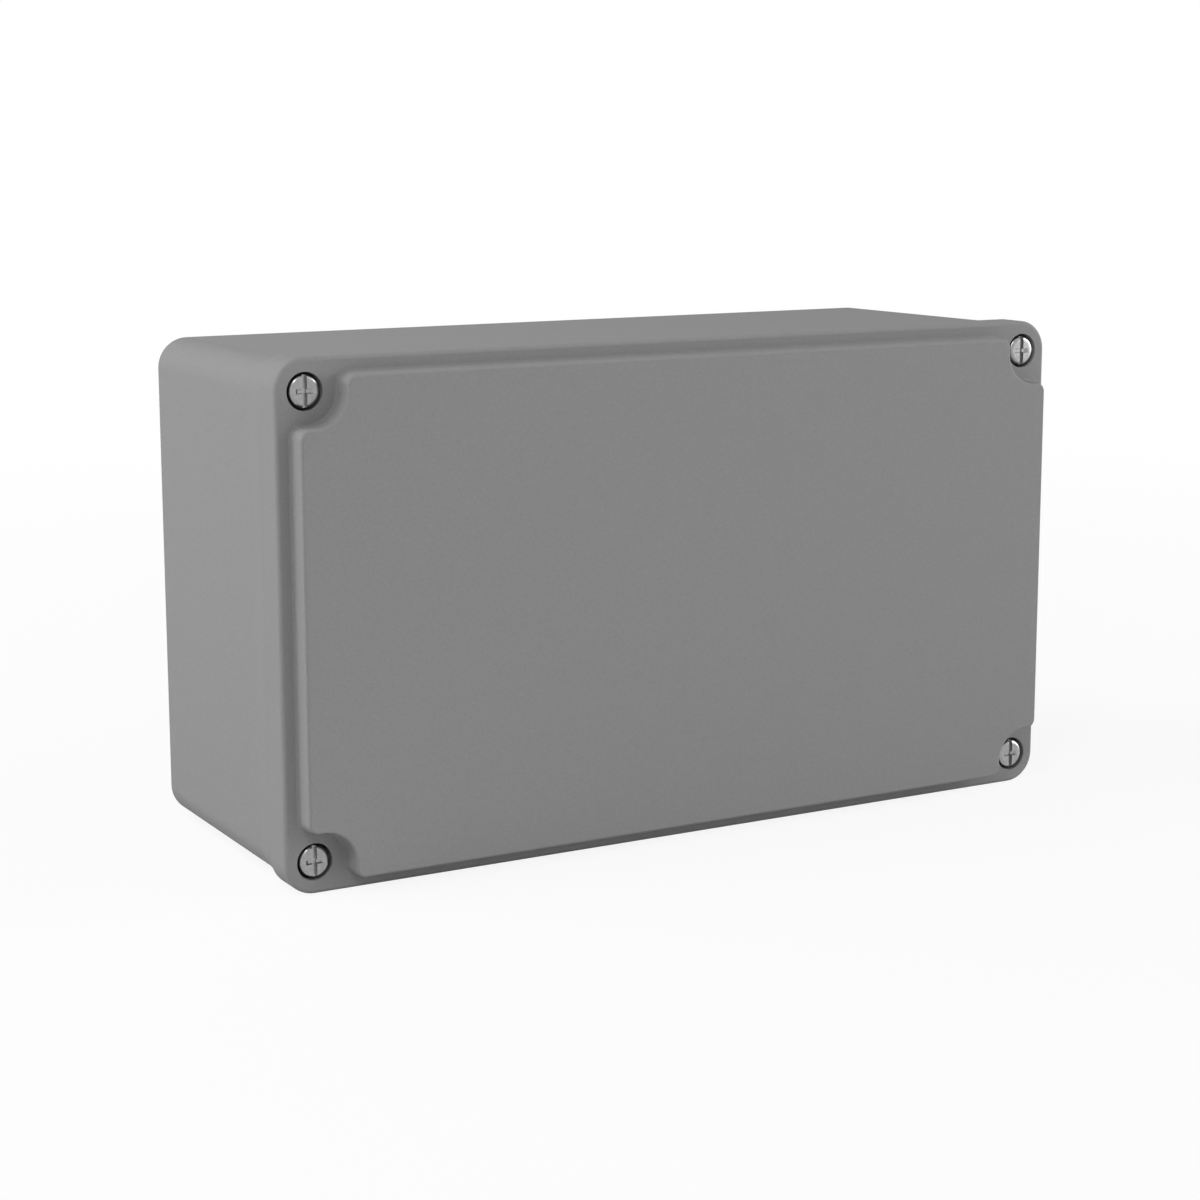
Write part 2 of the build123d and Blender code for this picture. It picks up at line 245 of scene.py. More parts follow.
class Shell:
    """Closed mesh built from strips between rings and from flat faces, with exact normals."""

    def __init__(self):
        self.points = []
        self.numbers = {}
        self.faces = []
        self.normals = []

    def number(self, point):
        """Number of a point. Points that agree to a hundred-millionth of a metre are one."""
        key = tuple(round(value * GRID_LINES_PER_METRE) for value in point)
        if key not in self.numbers:
            self.numbers[key] = len(self.points)
            self.points.append(Vector(point))
        return self.numbers[key]

    def face(self, points, normals):
        """Adds a face, turned to agree with its normals. Corners that fall together become one."""
        corners = []
        for point, normal in zip(points, normals):
            number = self.number(point)
            if all(number != other for other, _ in corners):
                corners.append((number, normal))
        if len(corners) < 3:
            return
        across = Vector((0, 0, 0))
        first = self.points[corners[0][0]]
        for (b, _), (c, _) in zip(corners[1:], corners[2:]):
            across += (self.points[b] - first).cross(self.points[c] - first)
        wanted = sum((normal for _, normal in corners), Vector((0, 0, 0)))
        if across.dot(wanted) < 0:
            corners.reverse()
        self.faces.append([number for number, _ in corners])
        self.normals.extend(normal for _, normal in corners)

    def strip(self, ring, following):
        """Quads between two closed rings of (point, normal) pairs."""
        count = len(ring)
        for index in range(count):
            after = (index + 1) % count
            quad = (ring[index], ring[after], following[after], following[index])
            self.face([point for point, _ in quad], [normal for _, normal in quad])

    def loft(self, outline, stations, side=1):
        """Strips along a profile. A station is an offset of the outline, a depth and a tilt.

        The normal leans by the tilt from the outline's outside to the front. Side -1 turns its
        outward share round, for walls about a hollow.
        """
        rings = []
        for offset, depth, tilt in stations:
            ring = []
            for x, z, nx, nz in outline(offset):
                normal = side * cos(tilt) * Vector((nx, 0, nz)) + sin(tilt) * FRONT
                ring.append((Vector((x, -depth, z)), normal))
            rings.append(ring)
        for ring, following in zip(rings, rings[1:]):
            self.strip(ring, following)

    def wall(self, outline, offset, start, end, side=1):
        """Straight wall along an outline between two depths."""
        self.loft(outline, [(offset, start, 0), (offset, end, 0)], side)

    def blind_hole(self, circle, radius, mouth_radius, mouth, end):
        """Round hole from a depth towards the back, with a bevelled mouth and a flat end."""
        bore_start = mouth - (mouth_radius - radius)
        self.loft(circle, [(mouth_radius, mouth, BEVEL_TILT), (radius, bore_start, BEVEL_TILT)], side=-1)
        self.wall(circle, radius, bore_start, end, side=-1)
        self.flat(end, FRONT, circle(radius))

    def flat(self, depth, normal, *outlines):
        """Flat face at a depth. The first outline is its edge, the others are holes in it."""
        loops = [[Vector((x, -depth, z)) for x, z, _, _ in outline] for outline in outlines]
        corners = [point for loop in loops for point in loop]
        for triangle in tessellate_polygon(loops):
            self.face([corners[index] for index in triangle], [normal] * 3)

    def build(self, name, material):
        """The shell as an object."""
        mesh = bpy.data.meshes.new(name)
        mesh.from_pydata(self.points, [], self.faces)
        mesh.normals_split_custom_set([normal.normalized() for normal in self.normals])
        mesh.materials.append(material)
        return linked_object(name, mesh)


def arc(centre_x, centre_z, radius, start, end, hollow=False):
    """Points of an arc as x, z and the outline's outward normal, angles in degrees."""
    side = -1 if hollow else 1
    points = []
    for step in range(ARC_STEPS + 1):
        angle = radians(start + (end - start) * step / ARC_STEPS)
        way = (cos(angle), sin(angle))
        points.append((centre_x + radius * way[0], centre_z + radius * way[1], side * way[0], side * way[1]))
    return points


def mirrored(corner):
    """A whole outline from the points of its corner at +X, +Z, listed from the side to the top."""
    outline = []
    for sign_x, sign_z in ((1, 1), (-1, 1), (-1, -1), (1, -1)):
        part = [(sign_x * x, sign_z * z, sign_x * nx, sign_z * nz) for x, z, nx, nz in corner]
        outline += part if sign_x == sign_z else part[::-1]
    return outline


def rim_outline(inset):
    """Rounded rectangle inside the rim."""
    centre_x = HALF_X - RIM_CORNER_RADIUS
    centre_z = HALF_Z - RIM_CORNER_RADIUS
    return mirrored(arc(centre_x, centre_z, RIM_CORNER_RADIUS - inset, 0, 90))


def notched_outline(inset):
    """Rectangle with a round notch about each screw, parallel to the rim at an inset.

    Where the inset passes the screw's axis, the notch's arc ends at the straight sides.
    """
    notch = NOTCH_RADIUS + inset
    shoulder = max(SHOULDER_RADIUS - inset, 0)
    side_x = HALF_X - inset
    top_z = HALF_Z - inset
    trim_x = asin(max(SCREW_X - side_x, 0) / notch)
    trim_z = asin(max(SCREW_Z - top_z, 0) / notch)
    side_centre = (side_x - shoulder, SCREW_Z - notch * cos(trim_x) - shoulder)
    top_centre = (SCREW_X - notch * cos(trim_z) - shoulder, top_z - shoulder)
    corner = arc(*side_centre, shoulder, 0, 90)
    corner += arc(SCREW_X, SCREW_Z, notch, 270 - degrees(trim_x), 180 + degrees(trim_z), hollow=True)
    corner += arc(*top_centre, shoulder, 0, 90)
    return mirrored(corner)


def body_outline(inset):
    """Rounded rectangle of the body's outside, inside the rim by an inset."""
    middle = BODY_WALL_INSET + BODY_CORNER_RADIUS
    return mirrored(arc(HALF_X - middle, HALF_Z - middle, middle - inset, 0, 90))


def circle_about(x, z):
    """Family of circles about an axis along Y."""
    def outline(radius):
        ways = [2 * pi * step / CIRCLE_STEPS for step in range(CIRCLE_STEPS)]
        return [(x + radius * cos(a), z + radius * sin(a), cos(a), sin(a)) for a in ways]
    return outline


def rounding(offset, depth, radius, start, end, across=-1, along=1, steps=FILLET_STEPS):
    """Stations along a fillet about a given middle, whose normal tilts between two angles in degrees.

    The signs say on which side of the middle it lies, across the outline and along the depth.
    """
    stations = []
    for step in range(steps + 1):
        tilt = radians(start + (end - start) * step / steps)
        stations.append((offset + across * radius * cos(tilt), depth + along * radius * sin(tilt), tilt))
    return stations


def drafted_reach(radius, draft):
    """How far a fillet's middle lies from the corner of a flat face and a drafted wall."""
    return radius * (1 - sin(draft)) / cos(draft)


def cover_piece(material):
    """The cover as one casting: rim, raised panel, screw seats, seal groove, hollow and earth boss."""
    shell = Shell()
    rear = rounding(RIM_REAR_RADIUS, SEAM + RIM_REAR_RADIUS, RIM_REAR_RADIUS, -90, 0)
    front = rounding(RIM_FRONT_RADIUS, RIM_FRONT - RIM_FRONT_RADIUS, RIM_FRONT_RADIUS, 0, 90)
    shell.loft(rim_outline, rear + front)

    lean = degrees(PANEL_DRAFT)
    foot_middle = PANEL_FOOT_INSET - drafted_reach(PANEL_FOOT_RADIUS, PANEL_DRAFT)
    foot_depth = RIM_FRONT + PANEL_FOOT_RADIUS
    foot = rounding(foot_middle, foot_depth, PANEL_FOOT_RADIUS, 90, lean, across=1, along=-1)
    top_inset = PANEL_FOOT_INSET + (PANEL_FRONT - RIM_FRONT) * tan(PANEL_DRAFT)
    edge_middle = top_inset + drafted_reach(PANEL_EDGE_RADIUS, PANEL_DRAFT)
    edge = rounding(edge_middle, PANEL_FRONT - PANEL_EDGE_RADIUS, PANEL_EDGE_RADIUS, lean, 90)
    shell.loft(notched_outline, foot + edge)
    shell.flat(PANEL_FRONT, FRONT, notched_outline(edge[-1][0]))

    seat_radius = HEAD_RADIUS + HEAD_CLEARANCE
    mouth_middle = (seat_radius + SEAT_EDGE_RADIUS, RIM_FRONT - SEAT_EDGE_RADIUS)
    mouth = rounding(*mouth_middle, SEAT_EDGE_RADIUS, 90, 0, steps=SEAT_EDGE_STEPS)
    seat_mouths = []
    passages = []
    for x, z in SCREWS.values():
        circle = circle_about(x, z)
        seat_mouths.append(circle(mouth[0][0]))
        shell.loft(circle, mouth + [(seat_radius, COUNTERBORE_FLOOR, 0)], side=-1)
        shell.flat(COUNTERBORE_FLOOR, FRONT, circle(seat_radius), circle(PASSAGE_RADIUS))
        shell.wall(circle, PASSAGE_RADIUS, COUNTERBORE_FLOOR, SEAM, side=-1)
        passages.append(circle(PASSAGE_RADIUS))
    shell.flat(RIM_FRONT, FRONT, rim_outline(front[-1][0]), notched_outline(foot[0][0]), *seat_mouths)

    groove_outer = HALF_X - gasket_high[0] - GASKET_CLEARANCE
    groove_inner = groove_outer + GROOVE_WIDTH
    shell.wall(notched_outline, groove_outer, SEAM, GROOVE_FLOOR, side=-1)
    shell.wall(notched_outline, groove_inner, SEAM, GROOVE_FLOOR)
    shell.flat(GROOVE_FLOOR, BACK, notched_outline(groove_outer), notched_outline(groove_inner))

    hollow_inset = top_inset + COVER_WALL
    ceiling = PANEL_FRONT - PANEL_THICKNESS
    hollow_lean = degrees(HOLLOW_DRAFT)
    hollow_top = hollow_inset + (ceiling - SEAM) * tan(HOLLOW_DRAFT)
    hollow_middle = hollow_top + drafted_reach(HOLLOW_RADIUS, HOLLOW_DRAFT)
    ceiling_edge = rounding(hollow_middle, ceiling - HOLLOW_RADIUS, HOLLOW_RADIUS, -hollow_lean, -90, along=-1)
    shell.loft(notched_outline, [(hollow_inset, SEAM, -HOLLOW_DRAFT)] + ceiling_edge, side=-1)

    boss = circle_about(*middle_of("cover_earth_screw"))
    boss_end = -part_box("cover_earth_clamp_plate")[0][1]
    hole_end = PANEL_FRONT - METAL_OVER_HOLE
    shell.flat(ceiling, BACK, notched_outline(ceiling_edge[-1][0]), boss(COVER_BOSS_RADIUS))
    shell.wall(boss, COVER_BOSS_RADIUS, ceiling, boss_end)
    shell.flat(boss_end, BACK, boss(COVER_BOSS_RADIUS), boss(COVER_BOSS_HOLE_RADIUS))
    shell.wall(boss, COVER_BOSS_HOLE_RADIUS, boss_end, hole_end, side=-1)
    shell.flat(hole_end, BACK, boss(COVER_BOSS_HOLE_RADIUS))

    shell.flat(SEAM, BACK, rim_outline(rear[0][0]), notched_outline(groove_outer), *passages)
    shell.flat(SEAM, BACK, notched_outline(groove_inner), notched_outline(hollow_inset))
    piece = shell.build("cover_casting", material)
    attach(piece, "cover")
    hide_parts("enclosure_cover")


def four_places(x, z):
    """A place and its mirror images."""
    return [(side_x * x, side_z * z) for side_x in (-1, 1) for side_z in (-1, 1)]


def boss_on_floor(shell, place, radius, hole_radius, hole_end):
    """Round boss on the cavity's floor with a blind hole. Gives the outline of its foot."""
    circle = circle_about(*place)
    top = CAVITY_FLOOR + BOSS_HEIGHT
    foot_middle = (radius + BOSS_FOOT_RADIUS, CAVITY_FLOOR + BOSS_FOOT_RADIUS)
    foot = rounding(*foot_middle, BOSS_FOOT_RADIUS, 90, 0, along=-1)
    edge = rounding(radius - BOSS_EDGE_RADIUS, top - BOSS_EDGE_RADIUS, BOSS_EDGE_RADIUS, 0, 90, across=1)
    shell.loft(circle, foot + edge)
    mouth_radius = hole_radius + BOSS_HOLE_BEVEL
    shell.flat(top, FRONT, circle(edge[-1][0]), circle(mouth_radius))
    shell.blind_hole(circle, hole_radius, mouth_radius, top, hole_end)
    return circle(foot[0][0])


def body_piece(material):
    """The body as one casting: drafted walls, flared mouth, tongue, cavity, bosses and holes."""
    shell = Shell()
    lean = degrees(BODY_DRAFT)
    flare_start = SEAM - FLARE_DEPTH
    flare_end = SEAM - BODY_MOUTH_RADIUS
    wall_back = BODY_WALL_INSET + (flare_start - BODY_BACK_RADIUS) * tan(BODY_DRAFT)
    outside = rounding(wall_back + BODY_BACK_RADIUS, BODY_BACK_RADIUS, BODY_BACK_RADIUS, -90, -lean)
    swell = BODY_WALL_INSET - BODY_MOUTH_INSET
    for step in range(FLARE_STEPS + 1):
        # The flare is a smooth step: 3 s^2 - 2 s^3 of the swell, with the slope 6 s (1 - s)
        share = step / FLARE_STEPS
        slope = tan(BODY_DRAFT) * (1 - share) + swell / FLARE_DEPTH * 6 * share * (1 - share)
        outside.append((
            BODY_WALL_INSET - swell * share ** 2 * (3 - 2 * share),
            flare_start + (flare_end - flare_start) * share,
            -slope,
        ))
    mouth = rounding(BODY_MOUTH_INSET + BODY_MOUTH_RADIUS, flare_end, BODY_MOUTH_RADIUS, 0, 90)
    shell.loft(body_outline, outside + mouth)

    wall_holes = [circle_about(x, z) for x, z in four_places(WALL_HOLE_X, WALL_HOLE_Z)]
    hole_edges = [circle(WALL_HOLE_RADIUS) for circle in wall_holes]
    shell.flat(0, BACK, body_outline(outside[0][0]), *hole_edges)
    for circle in wall_holes:
        shell.wall(circle, WALL_HOLE_RADIUS, 0, CAVITY_FLOOR, side=-1)

    tapped_mouths = []
    for x, z in SCREWS.values():
        circle = circle_about(x, z)
        tapped_mouths.append(circle(TAPPED_MOUTH_RADIUS))
        shell.blind_hole(circle, TAPPED_RADIUS, TAPPED_MOUTH_RADIUS, SEAM, TAPPED_END)
    shell.flat(SEAM, FRONT, body_outline(mouth[-1][0]), notched_outline(TONGUE_INSET), *tapped_mouths)

    shell.wall(notched_outline, TONGUE_INSET, SEAM, TONGUE_END)
    shell.flat(TONGUE_END, FRONT, notched_outline(TONGUE_INSET), notched_outline(CAVITY_INSET))
    floor_middle = (CAVITY_INSET + CAVITY_FLOOR_RADIUS, CAVITY_FLOOR + CAVITY_FLOOR_RADIUS)
    floor_edge = rounding(*floor_middle, CAVITY_FLOOR_RADIUS, 0, 90, along=-1)
    shell.loft(notched_outline, [(CAVITY_INSET, TONGUE_END, 0)] + floor_edge, side=-1)

    plate_hole_end = CAVITY_FLOOR + BOSS_HEIGHT - PLATE_BOSS_HOLE_DEPTH
    feet = [
        boss_on_floor(shell, place, PLATE_BOSS_RADIUS, PLATE_BOSS_HOLE_RADIUS, plate_hole_end)
        for place in four_places(PLATE_BOSS_X, PLATE_BOSS_Z)
    ]
    earth_place = middle_of("body_earth_screw")
    feet.append(boss_on_floor(shell, earth_place, EARTH_BOSS_RADIUS, TAPPED_RADIUS, EARTH_HOLE_FLOOR))
    shell.flat(CAVITY_FLOOR, FRONT, notched_outline(floor_edge[-1][0]), *feet, *hole_edges)

    piece = shell.build("body_casting", material)
    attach(piece, "base")
    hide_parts("enclosure_body")


# Screws, turned and cut from plain forms

def plain_object(name, points, faces):
    """Object from points and faces."""
    mesh = bpy.data.meshes.new(name)
    mesh.from_pydata(points, [], faces)
    mesh.validate()
    return linked_object(name, mesh)


def revolved(profile):
    """Points and faces of a turned solid about the Y axis. The profile runs from axis to axis."""
    steps = TURNED_STEPS
    points = [(0, -profile[0][1], 0)]
    faces = []
    for radius, depth in profile[1:-1]:
        for step in range(steps):
            angle = 2 * pi * step / steps
            points.append((radius * cos(angle), -depth, radius * sin(angle)))
    points.append((0, -profile[-1][1], 0))
    rows = len(profile) - 2
    last = len(points) - 1
    for step in range(steps):
        after = (step + 1) % steps
        faces.append((0, 1 + after, 1 + step))
        for row in range(rows - 1):
            here = 1 + row * steps
            faces.append((here + step, here + after, here + steps + after, here + steps + step))
        here = 1 + (rows - 1) * steps
        faces.append((here + step, here + after, last))
    return points, faces


def head_profile(bottom, top):
    """Section of the screw's head: straight side, well rounded edge, and a top that is nearly flat."""
    profile = [(0, bottom), (HEAD_RADIUS - HEAD_REAR_BEVEL, bottom), (HEAD_RADIUS, bottom + HEAD_REAR_BEVEL)]
    for step in range(HEAD_EDGE_STEPS + 1):
        angle = pi / 2 * step / HEAD_EDGE_STEPS
        width = HEAD_RADIUS - HEAD_EDGE_WIDTH * (1 - cos(angle))
        profile.append((width, top - HEAD_EDGE_HEIGHT * (1 - sin(angle))))
    return profile + [(0, top)]


def thread_dip(turns):
    """How deep the thread is cut after a number of turns, from 0 on the crest to 1 at the root."""
    rise = 1 - abs(2 * (turns % 1) - 1)
    return min(max(THREAD_FLANK * rise - THREAD_CREST, 0), 1)


def threaded_shank(bottom, length, thread_radius, pitch):
    """Points and faces of the threaded bar behind the head, as one helical surface with a bevelled tip."""
    rows = ceil(length / pitch * THREAD_ROWS_PER_TURN)
    depth_of_thread = THREAD_DEPTH_PER_PITCH * pitch
    tip = bottom - length
    points = []
    faces = []
    for row in range(rows + 1):
        depth = bottom + SHANK_OVERLAP - (length + SHANK_OVERLAP) * row / rows
        limit = thread_radius - max(TIP_LENGTH - (depth - tip), 0)
        for step in range(THREAD_TURN_STEPS):
            turn = step / THREAD_TURN_STEPS
            radius = min(thread_radius - depth_of_thread * thread_dip(depth / pitch - turn), limit)
            points.append((radius * cos(2 * pi * turn), -depth, radius * sin(2 * pi * turn)))
    for row in range(rows):
        here = row * THREAD_TURN_STEPS
        below = here + THREAD_TURN_STEPS
        for step in range(THREAD_TURN_STEPS):
            after = (step + 1) % THREAD_TURN_STEPS
            faces.append((here + step, here + after, below + after, below + step))
    last = rows * THREAD_TURN_STEPS
    faces.append(tuple(range(THREAD_TURN_STEPS))[::-1])
    faces.append(tuple(last + step for step in range(THREAD_TURN_STEPS)))
    return points, faces


def block(low, high):
    """Points and faces of a box."""
    points = [(x, y, z) for x in (low[0], high[0]) for y in (low[1], high[1]) for z in (low[2], high[2])]
    faces = [(0, 1, 3, 2), (4, 6, 7, 5), (0, 4, 5, 1), (2, 3, 7, 6), (0, 2, 6, 4), (1, 5, 7, 3)]
    return points, faces


def prism(outlines):
    """Points and faces of a bar between two outlines of (x, z) pairs, each with its depth."""
    points = [(x, -depth, z) for depth, outline in outlines for x, z in outline]
    count = len(points) // 2
    faces = [tuple(range(count)), tuple(range(2 * count - 1, count - 1, -1))]
    faces += [(i, i + count, (i + 1) % count + count, (i + 1) % count) for i in range(count)]
    return points, faces


def cross_cutter(top):
    """Points and faces of the cross recess, which narrows towards its floor."""
    long = CROSS_SPAN / 2
    wide = CROSS_WIDTH / 2
    outline = [(long, -wide), (long, wide), (wide, wide), (wide, long), (-wide, long), (-wide, wide)]
    outline += [(-x, -z) for x, z in outline]
    widened = 1 + (1 - CROSS_TAPER) * CROSS_CUTTER_RISE / CROSS_DEPTH
    ends = ((top + CROSS_CUTTER_RISE, widened), (top - CROSS_DEPTH, CROSS_TAPER))
    return prism([(depth, [(x * share, z * share) for x, z in outline]) for depth, share in ends])


def hexagon_prism(corner_radius, low, high):
    """Points and faces of a hexagonal bar between two depths, with corners on the X axis."""
    ways = [radians(60 * step) for step in range(6)]
    outline = [(corner_radius * cos(a), corner_radius * sin(a)) for a in ways]
    return prism([(low, outline), (high, outline)])


def cut(piece, cutters, operation="DIFFERENCE"):
    """Takes the cutters out of a piece, or keeps what lies inside them, and deletes them."""
    for cutter in cutters:
        boolean = piece.modifiers.new("cut", "BOOLEAN")
        boolean.operation = operation
        boolean.solver = "EXACT"
        boolean.object = cutter
    graph = bpy.context.evaluated_depsgraph_get()
    mesh = bpy.data.meshes.new_from_object(piece.evaluated_get(graph))
    piece.modifiers.clear()
    piece.data = mesh
    for cutter in cutters:
        bpy.data.objects.remove(cutter)


def fixed_normals(piece):
    """Turns all faces outwards, and keeps edges sharp where faces meet at a clear angle."""
    editing = bmesh.new()
    editing.from_mesh(piece.data)
    bmesh.ops.recalc_face_normals(editing, faces=editing.faces)
    editing.to_mesh(piece.data)
    editing.free()
    piece.data.shade_smooth()
    piece.data.set_sharp_from_angle(angle=SHARP_ANGLE)


def joined(name, parts, material):
    """One piece with the meshes of all parts, which are deleted."""
    points = []
    faces = []
    for part in parts:
        start = len(points)
        points += [vertex.co.copy() for vertex in part.data.vertices]
        faces += [tuple(start + number for number in face.vertices) for face in part.data.polygons]
        bpy.data.objects.remove(part)
    piece = plain_object(name, points, faces)
    fixed_normals(piece)
    piece.data.materials.append(material)
    return piece


def cover_screw_pieces(material):
    """Four cover screws from one mesh: rounded head with a full slot and a small cross, real thread."""
    underside = RIM_FRONT - HEAD_HEIGHT_ABOVE_WASHER
    head = plain_object("head_blank", *revolved(head_profile(underside, RIM_FRONT)))
    half = SLOT_WIDTH / 2
    reach = HEAD_RADIUS + CUTTER_REACH
    slot_low = (-half, -(RIM_FRONT + CUTTER_REACH), -reach)
    slot_high = (half, -(RIM_FRONT - SLOT_DEPTH), reach)
    slot = plain_object("slot_cutter", *block(slot_low, slot_high))
    cross = plain_object("cross_cutter", *cross_cutter(RIM_FRONT))
    for piece in (head, slot, cross):
        fixed_normals(piece)
    cut(head, [slot, cross])
    shank = plain_object("shank_blank", *threaded_shank(underside, SHANK_LENGTH, SHANK_RADIUS, THREAD_PITCH))
    screw = joined("screw_master", (head, shank), material)
    for corner, (x, z) in SCREWS.items():
        piece = linked_object("screw_" + corner, screw.data.copy())
        piece.location = (x, 0, z)
        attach(piece, "screw_" + corner)
        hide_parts("cover_screw_" + corner)
    bpy.data.objects.remove(screw)


def earth_screw_piece(place, body, material, thread_radius, pitch, flats, head_height):
    """Terminal screw with a bevelled hexagon head and a real thread, in place of a node's plain one."""
    node = place + "_screw"
    low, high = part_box(node)
    length = high[1] - low[1] - head_height
    corner_radius = flats / 2 / cos(HEXAGON_HALF_SIDE)
    blank_radius = corner_radius + HEXAGON_BLANK_OVERSIZE
    top_radius = HEXAGON_TOP_PER_FLATS * flats
    side_end = head_height - (blank_radius - top_radius) * tan(HEXAGON_BEVEL)
    profile = [(0, 0), (blank_radius, 0), (blank_radius, side_end), (top_radius, head_height), (0, head_height)]
    head = plain_object("hexagon_head", *revolved(profile))
    hexagon = hexagon_prism(corner_radius, -CUTTER_REACH, head_height + CUTTER_REACH)
    cutter = plain_object("hexagon_cutter", *hexagon)
    for piece in (head, cutter):
        fixed_normals(piece)
    cut(head, [cutter], "INTERSECT")
    shank = plain_object("shank_blank", *threaded_shank(0, length, thread_radius, pitch))
    screw = joined(node + "_piece", (head, shank), material)
    x, z = middle_of(node)
    if place == "cover_earth":
        screw.rotation_euler = (0, 0, pi)
        screw.location = (x, low[1] + length, z)
    else:
        screw.location = (x, high[1] - length, z)
    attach(screw, body)
    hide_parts(node)


# Materials, all worked out from the place on the piece

def fill(node, inputs):
    """Sets a node's inputs, or links those that are given another node's output."""
    for key, value in inputs.items():
        if isinstance(value, bpy.types.NodeSocket):
            node.id_data.links.new(value, node.inputs[key])
        else:
            node.inputs[key].default_value = value


def node_adder(tree):
    """Helper that adds a node to a tree, makes its settings and fills its inputs."""
    def add(kind, inputs=None, **settings):
        node = tree.nodes.new(kind)
        for key, value in settings.items():
            setattr(node, key, value)
        fill(node, inputs or {})
        return node
    return add


def node_material(name):
    """New material, its Principled shader and the helper that adds nodes to it."""
    material = bpy.data.materials.new(name)
    material.use_nodes = True
    tree = material.node_tree
    return material, tree.nodes["Principled BSDF"], node_adder(tree)


def ramp(add, source, low, high, position_low=0.3, position_high=0.7):
    """Colour ramp between two greys or colours. Its positions are where most of a noise lies."""
    node = add("ShaderNodeValToRGB", {"Fac": source})
    node.color_ramp.elements[0].position = position_low
    node.color_ramp.elements[1].position = position_high
    for element, colour in zip(node.color_ramp.elements, (low, high)):
        element.color = (*colour, 1) if isinstance(colour, tuple) else (colour, colour, colour, 1)
    return node.outputs["Color"]


def noise(add, place, scale, detail=2.0):
    """Noise from about 0 to 1. A scale of 1000 has features of about a millimetre."""
    return add("ShaderNodeTexNoise", {"Vector": place, "Scale": scale, "Detail": detail}).outputs["Fac"]


def bump(add, height, strength, distance, below=None):
    """Normal of a bumped surface. The bumps may lie on those of another normal, below them."""
    inputs = {"Height": height, "Strength": strength, "Distance": distance}
    if below is not None:
        inputs["Normal"] = below
    return add("ShaderNodeBump", inputs).outputs["Normal"]


def dressed(name, material):
    """Gives a frame node's object a material."""
    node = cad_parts[name]
    node.data.materials.clear()
    node.data.materials.append(material)


def turned_steel():
    """Bright stainless steel with fine turning marks about each screw's axis."""
    material, shader, add = node_material("turned_steel")
    place = add("ShaderNodeTexCoord").outputs["Object"]
    flat = add("ShaderNodeVectorMath", {0: place, 1: (1, 0, 1)}, operation="MULTIPLY").outputs[0]
    radius = add("ShaderNodeVectorMath", {0: flat}, operation="LENGTH").outputs["Value"]
    rings = add("ShaderNodeTexNoise", {"W": radius, "Scale": 9000.0, "Detail": 2.0}, noise_dimensions="1D")
    marks = rings.outputs["Fac"]
    grain = noise(add, place, scale=900, detail=3)
    fill(shader, {
        "Base Color": ramp(add, grain, *STEEL_TONES, position_low=0.25, position_high=0.75),
        "Roughness": ramp(add, marks, *STEEL_ROUGHNESS),
        "Normal": bump(add, marks, strength=0.25, distance=0.02 * MM),
        "Metallic": 1,
    })
    return material


def plated_metal(name, tones, roughness):
    """Plated or bare metal with a faint cloudy tarnish."""
    material, shader, add = node_material(name)
    place = add("ShaderNodeTexCoord").outputs["Object"]
    cloud = noise(add, place, scale=350, detail=4)
    grain = noise(add, place, scale=2500)
    fill(shader, {
        "Base Color": ramp(add, cloud, *tones),
        "Roughness": ramp(add, cloud, *roughness),
        "Normal": bump(add, grain, strength=0.2, distance=0.02 * MM),
        "Metallic": 1,
    })
    return material


def black_rubber():
    """Matt black seal rubber with a fine mould grain."""
    material, shader, add = node_material("black_rubber")
    place = add("ShaderNodeTexCoord").outputs["Object"]
    grain = noise(add, place, scale=1500, detail=3)
    cloud = noise(add, place, scale=60)
    fill(shader, {
        "Base Color": ramp(add, cloud, *RUBBER_TONES),
        "Roughness": ramp(add, grain, *RUBBER_ROUGHNESS),
        "Normal": bump(add, grain, strength=0.4, distance=0.05 * MM),
    })
    return material


def grey_paint():
    """Fine textured grey powder coat: grain, a faint orange peel and hardly seen clouds."""
    material, shader, add = node_material("grey_paint")
    place = add("ShaderNodeTexCoord").outputs["Object"]
    fine = noise(add, place, scale=1400, detail=3)
    peel = noise(add, place, scale=420, detail=1)
    cloud = noise(add, place, scale=9)
    clouded = {"Factor": cloud, "A": ramp(add, fine, *PAINT_TONES), "B": ramp(add, cloud, *PAINT_CLOUDS)}
    tone = add("ShaderNodeMix", clouded, data_type="RGBA", blend_type="MULTIPLY")
    rough = bump(add, fine, strength=0.25, distance=0.04 * MM)
    fill(shader, {
        "Base Color": tone.outputs["Result"],
        "Roughness": ramp(add, fine, *PAINT_ROUGHNESS),
        "Normal": bump(add, peel, strength=0.3, distance=0.05 * MM, below=rough),
        "Specular IOR Level": PAINT_SPECULAR,
    })
    return material


def make_camera():
    """The photograph's camera: it looks along +Y, turned to the right and down."""
    forward = Vector((sin(YAW) * cos(PITCH), cos(YAW) * cos(PITCH), -sin(PITCH)))
    right = Vector((cos(YAW), -sin(YAW), 0))
    up = right.cross(forward)
    rolled_right = cos(ROLL) * right + sin(ROLL) * up
    rolled_up = -sin(ROLL) * right + cos(ROLL) * up
    data = bpy.data.cameras.new("camera")
    data.sensor_width = SENSOR
    data.lens = FOCAL_PIXELS / IMAGE_SIZE * SENSOR
    data.shift_x = (IMAGE_SIZE / 2 - AXIS_PIXEL_X) / IMAGE_SIZE
    data.shift_y = (AXIS_PIXEL_Y - IMAGE_SIZE / 2) / IMAGE_SIZE
    camera = linked_object("camera", data)
    turn = Matrix((rolled_right, rolled_up, -forward)).transposed().to_4x4()
    camera.matrix_world = Matrix.Translation(CAMERA_PLACE) @ turn
    bpy.context.scene.camera = camera


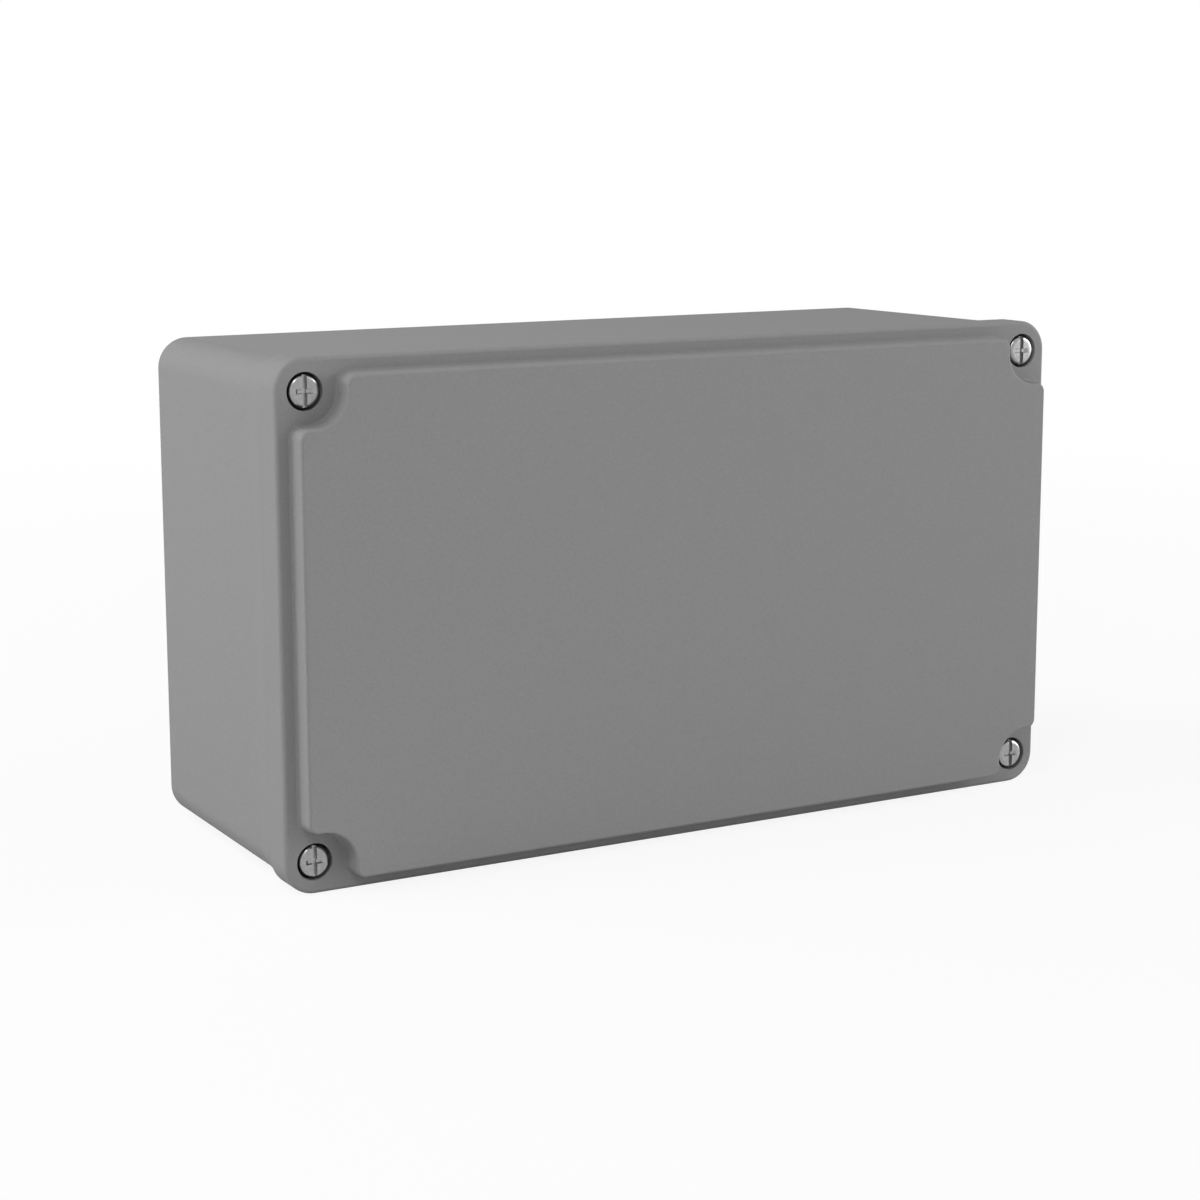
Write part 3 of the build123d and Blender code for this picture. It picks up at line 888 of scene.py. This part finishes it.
def make_lamp(name, place, target, size, power):
    """Round area lamp."""
    data = bpy.data.lights.new(name, "AREA")
    data.shape = "DISK"
    data.size = size
    data.energy = power
    lamp = linked_object(name, data)
    lamp.location = place
    lamp.rotation_euler = (Vector(target) - Vector(place)).to_track_quat("-Z", "Y").to_euler()


def seen_white(add):
    """1 for rays from the camera, in reflections and through glass, 0 for rays that light the object."""
    rays = add("ShaderNodeLightPath").outputs
    mirrored_rays = {0: rays["Is Glossy Ray"], 1: rays["Is Transmission Ray"]}
    indirect = add("ShaderNodeMath", mirrored_rays, operation="MAXIMUM").outputs[0]
    return add("ShaderNodeMath", {0: rays["Is Camera Ray"], 1: indirect}, operation="MAXIMUM").outputs[0]


def make_surroundings():
    """Faint light from all round, stronger from the front. The camera and reflections see white."""
    world = bpy.data.worlds.new("studio")
    bpy.context.scene.world = world
    world.use_nodes = True
    world.node_tree.nodes.clear()
    add = node_adder(world.node_tree)
    direction = add("ShaderNodeTexCoord").outputs["Generated"]
    facing = add("ShaderNodeVectorMath", {0: direction, 1: FRONT}, operation="DOT_PRODUCT").outputs["Value"]
    lobe = add("ShaderNodeMath", {0: facing, 1: 0}, operation="MAXIMUM").outputs[0]
    levels = {0: lobe, 1: WORLD_FRONT_STRENGTH, 2: WORLD_STRENGTH}
    strength = add("ShaderNodeMath", levels, operation="MULTIPLY_ADD").outputs[0]
    light = add("ShaderNodeBackground", {"Color": WHITE, "Strength": strength}).outputs[0]
    white = add("ShaderNodeBackground", {"Color": WHITE}).outputs[0]
    mix = add("ShaderNodeMixShader", {0: seen_white(add), 1: light, 2: white}).outputs[0]
    add("ShaderNodeOutputWorld", {"Surface": mix})


def make_floor():
    """Plain pale floor under the box. It keeps the box's shadow and is white in reflections."""
    corners = [(-1, -1), (1, -1), (1, 1), (-1, 1)]
    mesh = bpy.data.meshes.new("floor")
    mesh.from_pydata([(x * FLOOR_HALF, y * FLOOR_HALF, FLOOR_LEVEL) for x, y in corners], [], [(0, 1, 2, 3)])
    material, shader, add = node_material("floor_paper")
    fill(shader, {"Base Color": (FLOOR_COLOUR, FLOOR_COLOUR, FLOOR_COLOUR, 1), "Roughness": FLOOR_ROUGHNESS})
    glow = add("ShaderNodeEmission", {"Strength": 1.0})
    place = add("ShaderNodeTexCoord").outputs["Object"]
    distance = add("ShaderNodeVectorMath", {0: place}, operation="LENGTH").outputs["Value"]
    fading = {"From Min": FADE_START, "From Max": FADE_END, "To Min": WHITE_SHARE_NEAR, "To Max": 1.0}
    fade = add("ShaderNodeMapRange", {"Value": distance, **fading})
    share = add("ShaderNodeMath", {0: seen_white(add), 1: fade.outputs[0]}, operation="MULTIPLY")
    mix = add("ShaderNodeMixShader", {0: share.outputs[0], 1: shader.outputs[0], 2: glow.outputs[0]})
    fill(material.node_tree.nodes["Material Output"], {"Surface": mix.outputs[0]})
    mesh.materials.append(material)
    floor = linked_object("floor", mesh)


# The pieces, each in place of its node, and the materials of the nodes that stay
paint = grey_paint()
cover_piece(paint)
body_piece(paint)
cover_screw_pieces(turned_steel())
rubber = black_rubber()
dressed("cover_gasket", rubber)
for corner in CORNERS:
    dressed("sealing_washer_" + corner, rubber)
zinc = plated_metal("zinc_plate", ZINC_TONES, ZINC_ROUGHNESS)
brass = plated_metal("nickel_brass", BRASS_TONES, BRASS_ROUGHNESS)
earth_screw_piece("body_earth", "body_earth_screw", zinc, *M5_HEXAGON_SCREW)
earth_screw_piece("cover_earth", "cover_earth_screw", zinc, *M4_HEXAGON_SCREW)
for place_name in ("body_earth", "cover_earth"):
    dressed(place_name + "_clamp_plate", brass)

# The studio
bpy.context.scene.view_settings.view_transform = "Standard"
make_camera()
make_surroundings()
make_floor()
for lamp_name, lamp_values in LAMPS.items():
    make_lamp(lamp_name, *lamp_values)
